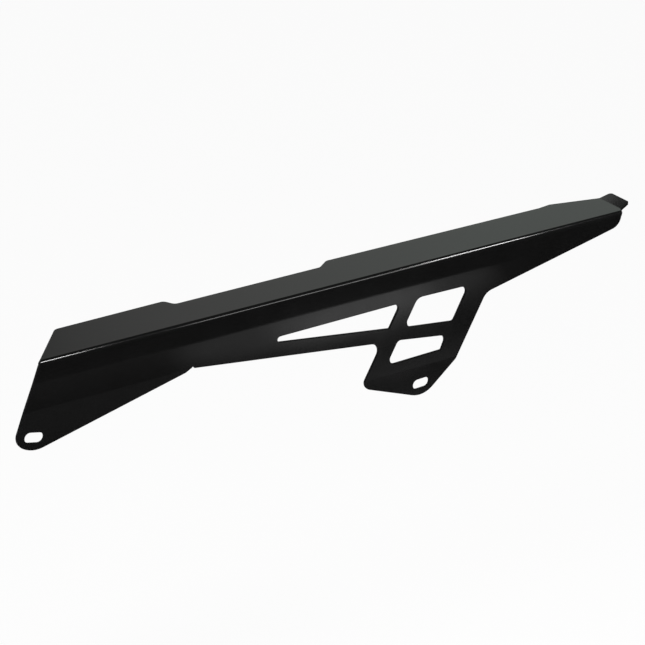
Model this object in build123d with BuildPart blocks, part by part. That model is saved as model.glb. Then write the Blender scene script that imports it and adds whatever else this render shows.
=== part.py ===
from build123d import *
import os
from math import atan2, cos, degrees, hypot, radians, sin, tan

# Motorcycle chain guard: one laser-cut aluminium sheet, folded on a press brake.
# X runs to the rear along the main fold, Y inboard towards the wheel, Z up.
# The origin is the centre of the front slot, on the inboard face that is bolted down.
# Sizes are millimetres and degrees. A station is measured to the rear from the front end
# of the main fold, a drop down from the flange's top face, a rise up from a slot's centre,
# and a width inboard from the side's outer face.

# Sheet and folds
sheet = 2.0
fold_inside_radius = 1.0
strip_drop = 13.9
panel_tilt = 2.5
strip_crease_radius = 45.0
tab_crease_radius = 20.0
front_tab_rise = 17.7
bracket_tab_rise = 12.5

# Fixing slots
slot_width = 7.0
slot_length = 13.0
front_slot_station = -6.2
front_slot_drop = 49.2
front_slot_turn = -12.6
bracket_slot_station = 278.0
bracket_slot_drop = 87.7
bracket_slot_turn = 2.2

# Front end of the side and its tab
front_lean = 21.2
front_slant = 1.0
tab_edge_angle = 13.5
tab_toe_angle = 35.5
tab_margin = 8.9
tab_nose_radius = 8.2
tab_toe_radius = 16.8
tab_end_angle = 28.7
tab_end_run = 4.0
tab_end_radius = 5.0
relief_width = 2.2
relief_depth = 1.2
relief_set_back = 1.4

# Truss of bars and struts between the panel and the bracket. A window's lead is its upper
# front corner and its heel the lower rear one.
bar_rise = 37.65
bar_width = 9.6
bar_taper = 0.4
strut_set_forward = 51.05
strut_angle = 62.5
front_strut_width = 11.1
window_span = 36.8
rear_strut_width = 17.3
rear_strut_taper = 0.45
triangle_drop = 24.5
triangle_top_angle = 0.5
triangle_tip_radius = 2.05
triangle_radius = 3.4
upper_window_drop = 23.8
upper_window_top_angle = 1.0
upper_window_low_taper = 0.4
upper_window_rear_angle = 63.7
upper_window_lead_radius = 5.9
upper_window_heel_radius = 2.3
lower_window_rise = 19.7
lower_window_top_taper = 1.0
lower_window_top_step = 0.3
lower_window_low_angle = 1.1
lower_window_rear_angle = 68.7
lower_window_rear_step = 0.4
lower_window_lead_radius = 3.3
window_radius = 4.2
heel_radius = 0.6

# Outline of the bracket and of the rear end
bracket_margin = 9.1
bracket_low_angle = 20.9
bracket_rear_angle = 39.5
bracket_lobe_radius = 16.5
bracket_toe_radius = 5.4
bracket_inner_radius = 6.5
bracket_kink_radius = 6.0
rear_inner_radius = 9.0
side_length = 439.9
rear_lean = 12.0
rear_slant = 1.3
rear_drop = 9.2
rear_edge_angle = 12.1
rear_end_radius = 9.0

# Outline of the flange, seen from above
flange_width = 38.3
front_cut_angle = 51.3
front_set_in = 0.9
recess_station = 105.2
recess_length = 120.3
recess_depth = 7.6
recess_front_run = 4.0
recess_rear_run = 9.1
recess_rear_set_in = 0.8
hump_run = 9.6
hump_foot_set_in = 2.4
hump_set_in = 1.0
taper_length = 36.1
tail_width = 28.3
flange_corner_radius = 5.0
recess_radius = 3.7
hump_radius = 5.0

# Tail flick at the rear end of the flange
tail_gap = 1.1
tail_length = 8.7
tail_lift = 20.0
tail_inside_radius = 1.5
tail_near_step = 2.0
tail_near_taper = 1.6
tail_near_radius = 1.2
tail_far_radius = 3.2

# How far a cutting shape or a blank reaches past the finished sheet
spare = 5.0

# Straight that is always left between two arcs of an outline
least_straight = 0.2

# Sizes that follow from the ones above
fold_radius = fold_inside_radius + sheet
tilt_run = tan(radians(panel_tilt))
front_tab_drop = front_slot_drop - front_tab_rise
bracket_tab_drop = bracket_slot_drop - bracket_tab_rise
front_tab_set_in = tilt_run * (front_tab_drop - strip_drop)
flange_end = side_length + rear_slant
tail_station = flange_end + tail_gap
tail_reach = tail_length * cos(radians(tail_lift))
tail_end = tail_station + tail_reach
hump_station = tail_station - taper_length
tail_near_width = fold_radius + tail_near_step
front_width = flange_width - front_set_in
recess_width = flange_width - recess_depth
recess_rear_station = recess_station + recess_length
recess_rear_width = flange_width - recess_rear_set_in
hump_foot_width = flange_width - hump_foot_set_in
hump_width = flange_width - hump_set_in
blank_width = flange_width + spare

# Drawing planes, all starting at the front end of the main fold
corner = Vector(-front_slot_station, -front_tab_set_in - sheet, front_slot_drop)
side_view = Plane(origin=corner, x_dir=(1, 0, 0), z_dir=(0, -1, 0))
top_view = Plane(origin=corner, x_dir=(1, 0, 0), z_dir=(0, 0, 1))
end_view = Plane(origin=corner, x_dir=(0, 1, 0), z_dir=(1, 0, 0))
tail_view = side_view.offset(-fold_radius)


def beside(point, angle, distance):
    """Point at a distance to the right of a line through point that runs at angle."""
    turn = radians(angle)
    return (point[0] + distance * sin(turn), point[1] - distance * cos(turn))


def meet(point, angle, other, other_angle):
    """Crossing of two lines, each given by a point and the angle it runs at."""
    a, b = radians(angle), radians(other_angle)
    across = (other[0] - point[0]) * sin(b) - (other[1] - point[1]) * cos(b)
    along = across / sin(b - a)
    return (point[0] + along * cos(a), point[1] + along * sin(a))


def room_radius(wanted, room, turn):
    """Radius for a corner that turns by turn, held down to what a straight of length room takes."""
    return min(wanted, room / tan(radians(turn) / 2))


def span(point, other):
    """Distance between two points of a drawing."""
    return hypot(other[0] - point[0], other[1] - point[1])


def held_radii(corners, wanted):
    """Radii of a closed outline, each held down to what half of its shorter side takes."""
    held = []
    for i, radius in enumerate(wanted):
        before, at, after = corners[i - 1], corners[i], corners[(i + 1) % len(corners)]
        room = (min(span(before, at), span(at, after)) - least_straight) / 2
        turn = (Vector(*at) - Vector(*before)).get_angle(Vector(*after) - Vector(*at))
        held.append(room_radius(radius, room, turn))
    return held


def folded_section(tab_drop, bottom_drop):
    """Outer face of the folded sheet from the flange's edge down to the end of a tab."""
    set_in = tilt_run * (tab_drop - strip_drop)
    return [
        (blank_width, 0),
        (0, 0),
        (0, -strip_drop),
        (set_in, -tab_drop),
        (set_in, -bottom_drop),
    ]


# Lines of the side view: a point and an angle each
front_slot = (front_slot_station, -front_slot_drop)
bracket_slot = (bracket_slot_station, -bracket_slot_drop)
front_edge = ((0, 0), 90 - front_lean)
tab_edge = (beside(front_slot, tab_edge_angle, tab_margin), tab_edge_angle)
tab_toe = (beside(front_slot, -tab_toe_angle, tab_margin), -tab_toe_angle)
fold_end = meet(*tab_edge, (0, -front_tab_drop), 0)
strut_foot = (bracket_slot_station - strut_set_forward, -bracket_slot_drop)
strut_front = (strut_foot, strut_angle)
window_front = (beside(strut_foot, strut_angle, front_strut_width), strut_angle)
window_rear = (beside(window_front[0], strut_angle, window_span), strut_angle)
strut_rear_foot = beside(window_rear[0], strut_angle, rear_strut_width)
strut_rear = (strut_rear_foot, strut_angle + rear_strut_taper)
bar_foot = meet((0, bar_rise - bracket_slot_drop), 0, *strut_front)
low_angle = degrees(atan2(bar_foot[1] - fold_end[1], bar_foot[0] - fold_end[0]))
low_edge = (fold_end, low_angle)
bar_top = (beside(bar_foot, low_angle, -bar_width), low_angle - bar_taper)
triangle_top = (meet((0, -triangle_drop), 0, *strut_front), triangle_top_angle)
upper_top = (meet((0, -upper_window_drop), 0, *window_front), -upper_window_top_angle)
upper_low = (meet(*bar_top, *window_rear), low_angle + upper_window_low_taper)
upper_rear = (meet(*upper_top, *window_rear), upper_window_rear_angle)
bar_end = meet(*low_edge, *window_rear)
lower_top_angle = low_angle - lower_window_top_taper
lower_top = (beside(bar_end, lower_top_angle, lower_window_top_step), lower_top_angle)
lower_low = (meet((0, lower_window_rise - bracket_slot_drop), 0, *window_front), lower_window_low_angle)
lower_rear = (beside(bar_end, strut_angle, lower_window_rear_step), lower_window_rear_angle)
bracket_low = (beside(bracket_slot, -bracket_low_angle, bracket_margin), -bracket_low_angle)
bracket_rear = (beside(bracket_slot, bracket_rear_angle, bracket_margin), bracket_rear_angle)
rear_low = ((side_length, -rear_drop), rear_edge_angle)
rear_edge = ((side_length, 0), 90 - rear_lean)
bend_start = ((0, -fold_radius), 0)

lobe_corner = meet(*bracket_low, *bracket_rear)
tab_nose = meet(*front_edge, *tab_toe)
tab_heel = meet(*tab_toe, *tab_edge)
relief_station = fold_end[0] - relief_set_back
relief_length = 2 * relief_width + relief_depth
relief_front = ((relief_station - relief_width / 2, 0), 90)
tab_end_station = relief_front[0][0] - tab_end_run
tab_end = (meet(*tab_edge, (tab_end_station, 0), 90), tab_end_angle)
rear_corner = meet(*rear_low, *rear_edge)
rear_top = meet(*rear_edge, *bend_start)

# Arcs that share one straight: the nose and the toe of the tab, and the rear end's corner
nose_turn = 180 - front_edge[1] - tab_toe_angle
toe_turn = tab_toe_angle + tab_edge_angle
toe_length = span(tab_nose, tab_heel) - least_straight
nose_radius = room_radius(tab_nose_radius, toe_length / 2, nose_turn)
toe_room = toe_length - nose_radius * tan(radians(nose_turn) / 2)
toe_radius = room_radius(tab_toe_radius, toe_room, toe_turn)
rear_room = span(rear_corner, rear_top) - least_straight
rear_radius = room_radius(rear_end_radius, rear_room, rear_edge[1] - rear_edge_angle)

# Corners of the windows and the radius of each
triangle = [
    meet(*triangle_top, *bar_top),
    meet(*bar_top, *strut_front),
    meet(*strut_front, *triangle_top),
]
triangle_radii = [triangle_tip_radius, heel_radius, triangle_radius]
upper_window = [
    meet(*upper_top, *window_front),
    meet(*upper_low, *window_front),
    meet(*upper_low, *upper_rear),
    meet(*upper_top, *upper_rear),
]
upper_window_radii = [upper_window_lead_radius, window_radius, upper_window_heel_radius, window_radius]
lower_window = [
    meet(*lower_top, *window_front),
    meet(*lower_low, *window_front),
    meet(*lower_low, *lower_rear),
    meet(*lower_top, *lower_rear),
]
lower_window_radii = [lower_window_lead_radius, window_radius, heel_radius, window_radius]

deepest = max(-lobe_corner[1], -tab_heel[1]) + spare
foremost = tab_nose[0] - spare

with BuildPart() as chain_guard:
    # Folded blank, in two lengths that part at the relief notch
    with BuildSketch(end_view.offset(foremost)):
        with BuildLine():
            FilletPolyline(
                folded_section(front_tab_drop, deepest),
                radius=[fold_radius, strip_crease_radius, tab_crease_radius],
            )
            offset(amount=sheet, side=Side.LEFT)
        make_face()
    extrude(amount=relief_station - foremost)
    with BuildSketch(end_view.offset(relief_station)):
        with BuildLine():
            FilletPolyline(
                folded_section(bracket_tab_drop, deepest),
                radius=[fold_radius, strip_crease_radius, tab_crease_radius],
            )
            offset(amount=sheet, side=Side.LEFT)
        make_face()
    extrude(amount=flange_end - relief_station)

    # Outline of the side
    with BuildSketch(side_view):
        with BuildLine():
            FilletPolyline(
                (front_slant, spare),
                (front_slant, 0),
                meet(*bend_start, *front_edge),
                tab_nose,
                tab_heel,
                tab_end[0],
                meet(*tab_end, *relief_front),
                meet(*relief_front, *low_edge),
                bar_foot,
                meet(*strut_front, *bracket_low),
                lobe_corner,
                meet(*bracket_rear, *strut_rear),
                meet(*strut_rear, *rear_low),
                rear_corner,
                rear_top,
                (flange_end, 0),
                (flange_end, spare),
                radius=[
                    0,
                    0,
                    0,
                    nose_radius,
                    toe_radius,
                    tab_end_radius,
                    0,
                    0,
                    bracket_inner_radius,
                    bracket_toe_radius,
                    bracket_lobe_radius,
                    bracket_kink_radius,
                    rear_inner_radius,
                    rear_radius,
                    0,
                    0,
                    0,
                ],
                close=True,
            )
        make_face()
    extrude(amount=blank_width + spare, both=True, mode=Mode.INTERSECT)

    # Tail flick, folded up across the rear end of the flange
    with BuildSketch(tail_view):
        with BuildLine():
            FilletPolyline(
                (side_length - spare, 0),
                (tail_station, 0),
                (tail_end, tail_length * sin(radians(tail_lift))),
                radius=tail_inside_radius,
            )
            offset(amount=sheet, side=Side.RIGHT)
        make_face()
    extrude(amount=fold_radius - blank_width)

    # Waste around the flange and the tail is cut away from above
    with BuildSketch(top_view.offset(-fold_radius)):
        with Locations((tail_end / 2, fold_radius)):
            Rectangle(tail_end + 2 * blank_width, 2 * blank_width, align=(Align.CENTER, Align.MIN))
        with BuildLine():
            FilletPolyline(
                (front_slant, fold_radius),
                meet((front_slant, fold_radius), front_cut_angle, (0, front_width), 0),
                (recess_station, flange_width),
                (recess_station + recess_front_run, recess_width),
                (recess_rear_station - recess_rear_run, recess_width),
                (recess_rear_station, recess_rear_width),
                (hump_station - hump_run, hump_foot_width),
                (hump_station, hump_width),
                (tail_end, tail_width - tail_reach * (hump_width - tail_width) / taper_length),
                (tail_end, tail_near_width + tail_near_taper),
                (tail_station, tail_near_width),
                (flange_end, fold_radius),
                radius=[
                    0,
                    flange_corner_radius,
                    recess_radius,
                    recess_radius,
                    recess_radius,
                    recess_radius,
                    hump_radius,
                    hump_radius,
                    tail_far_radius,
                    tail_near_radius,
                    0,
                    0,
                ],
                close=True,
            )
        make_face(mode=Mode.SUBTRACT)
    extrude(amount=fold_radius + tail_length, mode=Mode.SUBTRACT)

    # Windows of the truss, fixing slots and the relief at the end of the front tab's fold
    with BuildSketch(side_view):
        for corners, wanted in (
            (triangle, triangle_radii),
            (upper_window, upper_window_radii),
            (lower_window, lower_window_radii),
        ):
            with BuildLine():
                FilletPolyline(corners, radius=held_radii(corners, wanted), close=True)
            make_face()
        with Locations(front_slot):
            SlotOverall(slot_length, slot_width, rotation=front_slot_turn)
        with Locations(bracket_slot):
            SlotOverall(slot_length, slot_width, rotation=bracket_slot_turn)
        with Locations((relief_station, relief_depth - front_tab_drop - relief_length / 2)):
            SlotOverall(relief_length, relief_width, rotation=90)
    extrude(amount=blank_width, both=True, mode=Mode.SUBTRACT)

chain_guard.part.label = "chain_guard"
os.makedirs("parts", exist_ok=True)
export_step(chain_guard.part, "parts/chain_guard.step")
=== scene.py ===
# %% [markdown]
# # A folded chain guard in black powder coat
# The part is one sheet of aluminium, cut, folded along its length and across its tail, and
# powder coated black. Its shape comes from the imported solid, so this lesson is about three
# other things: the fine edge that a sheet has after cutting and coating, the coat itself,
# and a small studio that shows both. Everything is in metres, in the part's own frame.

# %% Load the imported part
import math

import bmesh
import bpy
from mathutils import Euler, Matrix, Vector


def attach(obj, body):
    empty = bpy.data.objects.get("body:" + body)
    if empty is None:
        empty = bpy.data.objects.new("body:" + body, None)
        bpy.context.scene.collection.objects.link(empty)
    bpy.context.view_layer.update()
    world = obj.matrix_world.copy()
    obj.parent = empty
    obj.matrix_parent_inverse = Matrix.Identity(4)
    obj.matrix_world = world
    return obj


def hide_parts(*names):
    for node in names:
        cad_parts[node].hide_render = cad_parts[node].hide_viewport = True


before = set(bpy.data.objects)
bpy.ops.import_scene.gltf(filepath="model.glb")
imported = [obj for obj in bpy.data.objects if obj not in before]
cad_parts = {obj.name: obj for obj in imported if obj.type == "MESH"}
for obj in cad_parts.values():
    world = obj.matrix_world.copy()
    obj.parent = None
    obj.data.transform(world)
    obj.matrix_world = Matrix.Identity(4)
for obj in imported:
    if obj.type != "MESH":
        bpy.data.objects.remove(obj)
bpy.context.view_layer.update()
MM = 0.001

for name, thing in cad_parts.items():
    print("node", name, "has", len(thing.data.polygons), "triangles")

# %% [markdown]
# ## Two small helpers
# Colours are written as they are read off a screen, as sRGB hex values. Shaders work in
# linear light, so one function turns the one into the other. Shader nodes need three
# things every time, a kind, some settings and some links, so one function adds a node
# with all three.

# %% Colour and node helpers
def linear(hex_colour):
    channels = [int(hex_colour[i:i + 2], 16) / 255 for i in (1, 3, 5)]
    return [c / 12.92 if c <= 0.04045 else ((c + 0.055) / 1.055) ** 2.4 for c in channels] + [1.0]


def add_node(tree, kind, links, **settings):
    made = tree.nodes.new(kind)
    for name, value in settings.items():
        setattr(made, name, value)
    for socket, value in links.items():
        if isinstance(value, bpy.types.NodeSocket):
            tree.links.new(value, made.inputs[socket])
        else:
            made.inputs[socket].default_value = value
    return made


print("mid grey #808080 is", round(linear("#808080")[0], 3), "in linear light")

# %% [markdown]
# ## The camera
# The photograph was taken with a long lens from the outboard side, a little above the
# guard and a little in front of it. Lining up the outline, the windows and both slots
# gave the direction, the place and the focal length. A camera turned by 90 degrees less
# its elevation looks down at the guard by that elevation, and a turn about Z gives its
# azimuth.

# %% Camera
camera_azimuth = -32.688
camera_elevation = 24.475
camera_place = Vector((-605.3, -1265.5, 709.1)) * MM
focal_length, sensor_width = 145.0, 36.0
nearest_seen, farthest_seen = 0.05, 50.0

lens = bpy.data.cameras.new("photo_lens")
lens.sensor_width = sensor_width
lens.lens = focal_length
lens.clip_start, lens.clip_end = nearest_seen, farthest_seen
camera = bpy.data.objects.new("photo_camera", lens)
camera.location = camera_place
camera.rotation_euler = Euler((math.radians(90 - camera_elevation), 0, math.radians(camera_azimuth)))
bpy.context.scene.collection.objects.link(camera)
bpy.context.scene.camera = camera
bpy.context.scene.view_settings.view_transform = "Standard"
print("camera", [round(v / MM) for v in camera.location], "mm, lens", focal_length, "mm")

# %% [markdown]
# ## The sheet with its edges broken
# A laser leaves a square edge. Deburring and the coat round it by about a fifth of a
# millimetre, which is what keeps a real sheet's edge from looking like paper. The solid has
# square edges, so a copy of its mesh is bevelled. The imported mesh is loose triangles: the
# copy is merged first, and its flat faces are made whole again, because a bevel needs faces
# that share edges. Beside the relief notch the cuts leave a fin a tenth of a millimetre
# wide, too small for the edge break, so its corners are drawn together at its root. A Bevel
# modifier could break the edges too, but here the cut walls and the broken edges also have
# to be told from the two skins of the sheet, for their own finish.

# %% Merge a copy of the solid's mesh
merge_gap = 0.002 * MM
flat_angle = math.radians(0.2)
fin_place = Vector((109.42, 0, 18.2)) * MM
fin_reach = 0.24 * MM
mid_sheet = -1.0 * MM

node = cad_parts["chain_guard"]
sheet = bmesh.new()
sheet.from_mesh(node.data)
bmesh.ops.remove_doubles(sheet, verts=sheet.verts, dist=merge_gap)
for skin_side in (-1, 1):
    fin = [v for v in sheet.verts
           if (v.co - fin_place).xz.length < fin_reach and (v.co.y - mid_sheet) * skin_side > 0]
    root = max((v.co.copy() for v in fin), key=lambda corner: corner.z, default=fin_place)
    bmesh.ops.pointmerge(sheet, verts=fin, merge_co=root)
    print("fin:", len(fin), "corners drawn together")
bmesh.ops.dissolve_limit(sheet, angle_limit=flat_angle, verts=sheet.verts, edges=sheet.edges)
print("merged sheet:", len(sheet.verts), "corners,", len(sheet.faces), "faces, closed:",
      all(e.is_manifold for e in sheet.edges))

# %% Tell the two skins from the cut walls
cut_angle = math.radians(35)
SKIN, CUT = 0, 1


def skin_from(start):
    skin, still_to_try = {start}, [start]
    while still_to_try:
        for edge in still_to_try.pop().edges:
            for other in edge.link_faces:
                if other not in skin and edge.calc_face_angle() < cut_angle:
                    skin.add(other)
                    still_to_try.append(other)
    return skin


outer = skin_from(max(sheet.faces, key=lambda f: f.calc_area()))
inner = skin_from(max((f for f in sheet.faces if f not in outer), key=lambda f: f.calc_area()))
for face in sheet.faces:
    face.material_index = SKIN if face in outer or face in inner else CUT
for name, faces in (("outer skin", outer), ("inner skin", inner)):
    print(name, round(sum(f.calc_area() for f in faces) / MM ** 2), "square mm")

# %% Break the outside edges
edge_break = 0.2 * MM
soft_angle = math.radians(50)

sharp = [e for e in sheet.edges if e.is_manifold and e.calc_face_angle_signed() > cut_angle]
rounded = bmesh.ops.bevel(sheet, geom=sharp, offset=edge_break, offset_type="OFFSET", affect="EDGES",
                          segments=2, profile=0.5, material=-1, clamp_overlap=False)
for face in rounded["faces"]:
    face.material_index = CUT
for face in sheet.faces:
    face.smooth = True
for edge in sheet.edges:
    edge.smooth = not edge.is_manifold or edge.calc_face_angle() < soft_angle
print("broke", len(sharp), "edges into", len(rounded["faces"]), "faces; closed:",
      all(e.is_manifold for e in sheet.edges))

# %% The dressed sheet takes the solid's place
mesh = bpy.data.meshes.new("guard_sheet")
sheet.to_mesh(mesh)
sheet.free()
guard = bpy.data.objects.new("guard_sheet", mesh)
bpy.context.scene.collection.objects.link(guard)
weights = guard.modifiers.new("flat faces stay flat", "WEIGHTED_NORMAL")
weights.keep_sharp = True
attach(guard, "root")
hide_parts("chain_guard")
print("guard sheet:", len(mesh.vertices), "corners,", len(mesh.polygons), "faces")

# %% [markdown]
# ## Black powder coat
# Powder coat is a layer of polyester that is sprayed on as dust and melted in an oven. It
# flows out nearly smooth, so it shines like a satin plastic, but keeps a low wave that
# painters call orange peel, one to three millimetres from crest to crest. A soft mottle in
# the black and in the gloss shows where the powder lay a little thicker. Both patterns are
# noise on Object coordinates, because the sheet has no seam that they would have to follow.
# Noise stays near its middle, so the band where it mostly lies is spread over the range of
# roughness.

# %% Powder coat on the skins
noise_low, noise_high = 0.3, 0.7
peel_wave = 1.8 * MM
peel_height = 0.004 * MM
mottle_patch = 22 * MM
glossiest, dullest = 0.115, 0.14

coat = bpy.data.materials.new("black_powder_coat")
coat.use_nodes = True
tree = coat.node_tree
shader = tree.nodes["Principled BSDF"]
place = add_node(tree, "ShaderNodeTexCoord", {}).outputs["Object"]
peel = add_node(tree, "ShaderNodeTexNoise",
                {"Vector": place, "Scale": 1 / peel_wave, "Detail": 1.0, "Roughness": 0.4})
mottle = add_node(tree, "ShaderNodeTexNoise",
                  {"Vector": place, "Scale": 1 / mottle_patch, "Detail": 3.0, "Roughness": 0.55})
black = add_node(tree, "ShaderNodeMix",
                 {"Factor": mottle.outputs["Fac"], "A": linear("#0e0e0e"), "B": linear("#121212")},
                 data_type="RGBA")
gloss = add_node(tree, "ShaderNodeMapRange",
                 {"Value": mottle.outputs["Fac"], "From Min": noise_low, "From Max": noise_high,
                  "To Min": glossiest, "To Max": dullest})
wave = add_node(tree, "ShaderNodeBump",
                {"Height": peel.outputs["Fac"], "Strength": 1.0, "Distance": peel_height})
tree.links.new(black.outputs["Result"], shader.inputs["Base Color"])
tree.links.new(gloss.outputs["Result"], shader.inputs["Roughness"])
tree.links.new(wave.outputs["Normal"], shader.inputs["Normal"])
shader.inputs["IOR"].default_value = 1.5
guard.data.materials.append(coat)
print("coat:", coat.name, "with", len(tree.nodes), "nodes")

# %% [markdown]
# ## The coat on the cut edges
# Melted powder draws back from an edge, so on the cut walls and the broken edges the coat
# is thin and stays as rough as the cut left the metal, a fine grit with hardly any shine.
# In the photograph no edge of the guard catches the light. It is the same black with the
# grit as bump, a high roughness and little specular.

# %% Powder coat on the cut edges
grit_size = 0.35 * MM
grit_depth = 0.02 * MM
edge_smoothest, edge_roughest = 0.5, 0.65
edge_shine = 0.03

edge_coat = bpy.data.materials.new("black_powder_coat_on_cut_edges")
edge_coat.use_nodes = True
tree = edge_coat.node_tree
shader = tree.nodes["Principled BSDF"]
place = add_node(tree, "ShaderNodeTexCoord", {}).outputs["Object"]
grit = add_node(tree, "ShaderNodeTexNoise",
                {"Vector": place, "Scale": 1 / grit_size, "Detail": 2.0, "Roughness": 0.5})
thin = add_node(tree, "ShaderNodeMix",
                {"Factor": grit.outputs["Fac"], "A": linear("#0a0a0a"), "B": linear("#131313")},
                data_type="RGBA")
matt = add_node(tree, "ShaderNodeMapRange",
                {"Value": grit.outputs["Fac"], "From Min": noise_low, "From Max": noise_high,
                 "To Min": edge_smoothest, "To Max": edge_roughest})
relief = add_node(tree, "ShaderNodeBump",
                  {"Height": grit.outputs["Fac"], "Strength": 0.6, "Distance": grit_depth})
tree.links.new(thin.outputs["Result"], shader.inputs["Base Color"])
tree.links.new(matt.outputs["Result"], shader.inputs["Roughness"])
tree.links.new(relief.outputs["Normal"], shader.inputs["Normal"])
shader.inputs["Specular IOR Level"].default_value = edge_shine
guard.data.materials.append(edge_coat)
print("edge coat on", sum(p.material_index == CUT for p in mesh.polygons), "of",
      len(mesh.polygons), "faces")

# %% [markdown]
# ## Paper floor
# A wide sheet of white paper lies well below the guard, so that its shadow falls soft and
# far away. To the eye and in mirrors the paper is part its own lit surface and part plain
# white, which keeps the shadow and still gives the photograph's white ground without more
# light on the guard. The rays that see it are told apart by Light Path, and the same small
# function serves the room below.

# %% Helpers for what stands around the guard
def seen_rays(tree):
    rays = add_node(tree, "ShaderNodeLightPath", {})
    eye_or_mirror = add_node(tree, "ShaderNodeMath",
                             {0: rays.outputs["Is Camera Ray"], 1: rays.outputs["Is Glossy Ray"]},
                             operation="MAXIMUM")
    return add_node(tree, "ShaderNodeMath",
                    {0: eye_or_mirror.outputs[0], 1: rays.outputs["Is Transmission Ray"]},
                    operation="MAXIMUM").outputs[0]


def studio_piece(name, shape, finish):
    made = bpy.data.meshes.new(name)
    shape.to_mesh(made)
    shape.free()
    made.materials.append(finish)
    piece = bpy.data.objects.new(name, made)
    bpy.context.scene.collection.objects.link(piece)
    return piece


# %% Paper floor
floor_place = Vector((200, 0, -320)) * MM
floor_radius = 8.0
tooth_size = 0.6 * MM
tooth_depth = 0.02 * MM
white_share = 0.92

paper = bpy.data.materials.new("matt_white_paper")
paper.use_nodes = True
tree = paper.node_tree
shader = tree.nodes["Principled BSDF"]
place = add_node(tree, "ShaderNodeTexCoord", {}).outputs["Object"]
tooth = add_node(tree, "ShaderNodeTexNoise", {"Vector": place, "Scale": 1 / tooth_size, "Detail": 2.0})
rise = add_node(tree, "ShaderNodeBump",
                {"Height": tooth.outputs["Fac"], "Strength": 0.3, "Distance": tooth_depth})
tree.links.new(rise.outputs["Normal"], shader.inputs["Normal"])
shader.inputs["Base Color"].default_value = linear("#f6f6f5")
shader.inputs["Roughness"].default_value = 0.9
share = add_node(tree, "ShaderNodeMath", {0: seen_rays(tree), 1: white_share}, operation="MULTIPLY")
glow = add_node(tree, "ShaderNodeEmission", {"Color": linear("#ffffff"), "Strength": 1.0})
both = add_node(tree, "ShaderNodeMixShader",
                {0: share.outputs[0], 1: shader.outputs["BSDF"], 2: glow.outputs["Emission"]})
tree.links.new(both.outputs["Shader"], tree.nodes["Material Output"].inputs["Surface"])

ground = bmesh.new()
bmesh.ops.create_circle(ground, cap_ends=True, radius=floor_radius, segments=96)
bmesh.ops.translate(ground, verts=ground.verts, vec=floor_place)
studio_piece("paper_floor", ground, paper)
print("floor at z", round(floor_place.z / MM), "mm")

# %% [markdown]
# ## Pale room
# A studio's pale walls fill the shadows, and smooth things mirror them. Walls could be
# built, but the world around the scene does the same with no corners to hide. It is white
# to the eye and in mirrors, like the paper, and gives less than half of that as light, so
# that lamps and room together light a grey card about as it is written.

# %% Pale room
room_light = 0.4

room = bpy.data.worlds.new("pale_room")
room.use_nodes = True
tree = room.node_tree
level = add_node(tree, "ShaderNodeMapRange",
                 {"Value": seen_rays(tree), "To Min": room_light, "To Max": 1.0})
tree.nodes["Background"].inputs["Color"].default_value = linear("#ffffff")
tree.links.new(level.outputs["Result"], tree.nodes["Background"].inputs["Strength"])
bpy.context.scene.world = room
print("room lights at", room_light)

# %% [markdown]
# ## Soft boxes
# A dark glossy thing shows the lamps more than it shows their light. The big box stands
# where no face of the guard mirrors it towards the camera and gives the plain light. The
# others are small, and are there to be seen: three overhead, whose images run along the
# round of the main fold, and four low ovals. The long and the short one give the side plate
# its soft glow in the middle, and the deep one and the front one show the folds above the
# two tabs. Each oval stands a few millimetres nearer or farther than the next, because two
# lamps in one plane don't add up in a mirror. None of the lamps is in the picture itself.

# %% Soft boxes
def soft_box(name, place_mm, aim_mm, wide_mm, high_mm, brightness, shape="RECTANGLE"):
    lamp = bpy.data.lights.new(name, "AREA")
    lamp.shape = shape
    lamp.size, lamp.size_y = wide_mm * MM, high_mm * MM
    area = lamp.size * lamp.size_y * (math.pi / 4 if shape == "ELLIPSE" else 1)
    lamp.energy = brightness * math.pi * area
    box = bpy.data.objects.new(name, lamp)
    box.location = Vector(place_mm) * MM
    box.rotation_euler = (Vector(aim_mm) - Vector(place_mm)).to_track_quat("-Z", "Y").to_euler()
    box.visible_camera = False
    bpy.context.scene.collection.objects.link(box)
    print(f"{name}: {lamp.energy:.3f} W")


# Each line gives a lamp's place, the point it is aimed at, its width and height, all in
# millimetres, and its brightness.
soft_box("key_box", (-1300, -900, 1500), (200, 0, 0), 1400, 1400, 5.0)
soft_box("fold_box_front", (175, -190, 420), (175, 0, 50), 86, 70, 32.0)
soft_box("fold_box_middle", (428, -235, 345), (428, 0, 50), 260, 70, 5.9)
soft_box("fold_box_rear", (572, -160, 390), (572, 0, 50), 100, 70, 39.0)
soft_box("low_oval_short", (452, -320, -180), (452, 0, 35), 155, 32, 0.62, "ELLIPSE")
soft_box("low_oval_long", (443, -328, -184), (443, 0, 35), 314, 32, 0.51, "ELLIPSE")
soft_box("low_oval_deep", (505, -324, -253), (505, 0, -20), 150, 28, 0.2, "ELLIPSE")
soft_box("low_oval_front", (188, -332, -168), (188, 0, 10), 270, 40, 0.085, "ELLIPSE")

# %% [markdown]
# ## A black canopy
# Side plate and tabs look black in the photograph because the camera's side of the studio
# is dark. A canopy of black cloth, bent round the guard's long axis, stands in for that dark
# side. It shows in reflections only and throws no shadow on the floor or the guard. Its
# curve is one edge spun about a line through the guard.

# %% Black canopy
canopy_reach = 520 * MM
canopy_axis = Vector((0, 0, 50)) * MM
canopy_ends = (-100 * MM, 1600 * MM)
canopy_from, canopy_to = math.radians(-50), math.radians(138.6)

cloth = bpy.data.materials.new("black_cloth")
cloth.use_nodes = True
shader = cloth.node_tree.nodes["Principled BSDF"]
shader.inputs["Base Color"].default_value = linear("#050505")
shader.inputs["Roughness"].default_value = 1.0
shader.inputs["Specular IOR Level"].default_value = 0.0


def only_in_mirrors(piece):
    piece.visible_camera = False
    piece.visible_diffuse = False
    piece.visible_shadow = False


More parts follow.
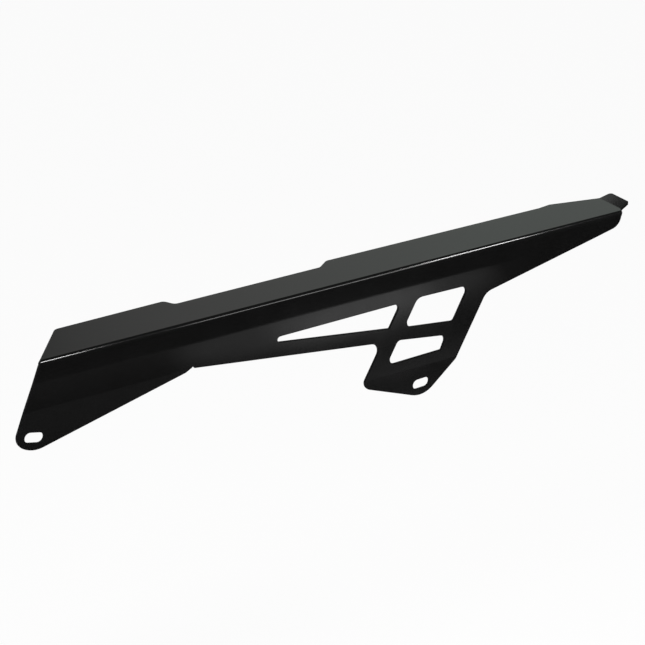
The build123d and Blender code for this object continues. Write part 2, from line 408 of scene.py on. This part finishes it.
hung = bmesh.new()
low_front = canopy_axis + canopy_reach * Vector((0, -math.cos(canopy_from), math.sin(canopy_from)))
ends = [hung.verts.new(low_front + Vector((x, 0, 0))) for x in canopy_ends]
bar = hung.edges.new(ends)
bmesh.ops.spin(hung, geom=[*ends, bar], cent=canopy_axis, axis=(-1, 0, 0),
               angle=canopy_to - canopy_from, steps=48)
canopy = studio_piece("black_canopy", hung, cloth)
only_in_mirrors(canopy)
print("canopy from z", round(min(v.co.z for v in canopy.data.vertices) / MM), "mm in front to y",
      round(max(v.co.y for v in canopy.data.vertices) / MM), "mm behind")

# %% [markdown]
# ## A graded net
# The flange mirrors the far side of the studio, and in the photograph that side grows
# lighter and a little greener to the rear. A net of black thread hangs there. A net lets
# through a share of what is behind it, so its material is part clear, with the clear
# share, and the tint of it, worked out from how far along the guard a ray meets it.

# %% Graded net
net_place = Vector((650, 700, 200)) * MM
net_wide, net_high = 1300 * MM, 900 * MM
thin_from, thin_to = 350 * MM, 850 * MM
tint_from = 500 * MM
open_in_front, open_at_rear = 0.21, 0.5
thinning_power = 0.55

net = bpy.data.materials.new("graded_black_net")
net.use_nodes = True
tree = net.node_tree
thread = tree.nodes["Principled BSDF"]
thread.inputs["Base Color"].default_value = linear("#050505")
thread.inputs["Specular IOR Level"].default_value = 0.0
place = add_node(tree, "ShaderNodeTexCoord", {}).outputs["Object"]
along = add_node(tree, "ShaderNodeSeparateXYZ", {"Vector": place}).outputs["X"]
grade = add_node(tree, "ShaderNodeMapRange",
                 {"Value": along, "From Min": thin_from, "From Max": thin_to})
curve = add_node(tree, "ShaderNodeMath",
                 {0: grade.outputs["Result"], 1: thinning_power}, operation="POWER")
open_share = add_node(tree, "ShaderNodeMapRange",
                      {"Value": curve.outputs[0], "To Min": open_in_front, "To Max": open_at_rear})
greener = add_node(tree, "ShaderNodeMapRange",
                   {"Value": along, "From Min": tint_from, "From Max": thin_to})
tint = add_node(tree, "ShaderNodeMix",
                {"Factor": greener.outputs["Result"], "A": linear("#fefffc"), "B": linear("#f5fff8")},
                data_type="RGBA")
clear = add_node(tree, "ShaderNodeBsdfTransparent", {"Color": tint.outputs["Result"]})
through = add_node(tree, "ShaderNodeMixShader",
                   {0: open_share.outputs["Result"], 1: thread.outputs["BSDF"],
                    2: clear.outputs["BSDF"]})
tree.links.new(through.outputs["Shader"], tree.nodes["Material Output"].inputs["Surface"])

hung = bmesh.new()
bmesh.ops.create_grid(hung, x_segments=1, y_segments=1, size=0.5)
bmesh.ops.scale(hung, verts=hung.verts, vec=(net_wide, net_high, 1.0))
bmesh.ops.rotate(hung, verts=hung.verts, matrix=Matrix.Rotation(math.radians(90), 3, "X"))
bmesh.ops.translate(hung, verts=hung.verts, vec=net_place)
only_in_mirrors(studio_piece("graded_net", hung, net))
print("net", round(net_wide / MM), "by", round(net_high / MM), "mm behind the guard")
